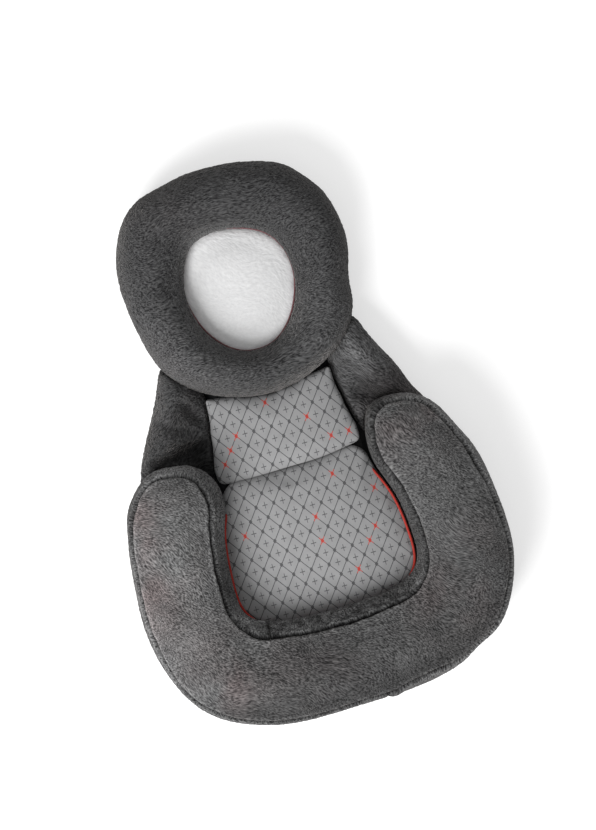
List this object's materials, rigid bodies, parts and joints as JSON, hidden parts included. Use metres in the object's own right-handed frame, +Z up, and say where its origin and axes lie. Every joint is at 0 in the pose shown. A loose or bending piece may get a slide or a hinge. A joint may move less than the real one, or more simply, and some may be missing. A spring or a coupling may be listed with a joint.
{
  "type": "infant lounger",
  "caption": "Plush infant lounger with a padded head ring, torso wings and a U-shaped bolster round a printed seat pad, on a flat zipped base.",
  "frame": {"origin": "on the floor, under the middle of the footprint", "axes": "+X across, +Y towards the head end, +Z up"},
  "size_m": [0.4722, 0.698, 0.112],
  "materials": {
    "plush": "short charcoal pile",
    "wall_plush": "short charcoal pile",
    "pad_cloth": "white short pile",
    "printed_cloth": "smooth printed knit",
    "base_cloth": "plain woven",
    "piping": "woven binding",
    "fibre_fill": "loose fibre",
    "foam": "open-cell foam in a dark cloth sleeve",
    "zip_tape": "woven tape with moulded teeth",
    "zip_metal": "die-cast, satin"
  },
  "bodies": {
    "lounger": {"head_ring_cover": "plush", "head_hollow_band": "wall_plush", "head_ring_fill": "fibre_fill", "left_wing_cover": "plush", "left_wing_fill": "fibre_fill", "right_wing_cover": "plush", "right_wing_fill": "fibre_fill", "bolster_top_panel": "plush", "bolster_left_band": "wall_plush", "bolster_right_band": "wall_plush", "bolster_fill": "fibre_fill", "base_foam": "foam", "seat_panel": "printed_cloth", "seat_wadding": "fibre_fill", "back_panel": "printed_cloth", "back_wadding": "fibre_fill", "head_pad_cover": "pad_cloth", "head_pad_wadding": "fibre_fill", "seat_piping": "piping", "head_piping": "piping", "base_panel": "base_cloth", "zip_left_tape": "zip_tape", "zip_right_tape": "zip_tape", "zip_head_stop": "zip_metal", "zip_foot_stop": "zip_metal"},
    "slider": {"zip_slider": "zip_metal"},
    "pull": {"zip_pull": "zip_metal"}
  },
  "joints": [
    {"name": "zip_slide", "type": "slide", "parent": "lounger", "child": "slider", "axis": [0, 1, 0], "range_m": [-0.1764, 0]},
    {"name": "pull_hinge", "type": "hinge", "parent": "slider", "child": "pull", "pos_m": [0, 0.0132, 0.0023], "axis": [1, 0, 0], "range_deg": [0, 120]}
  ]
}
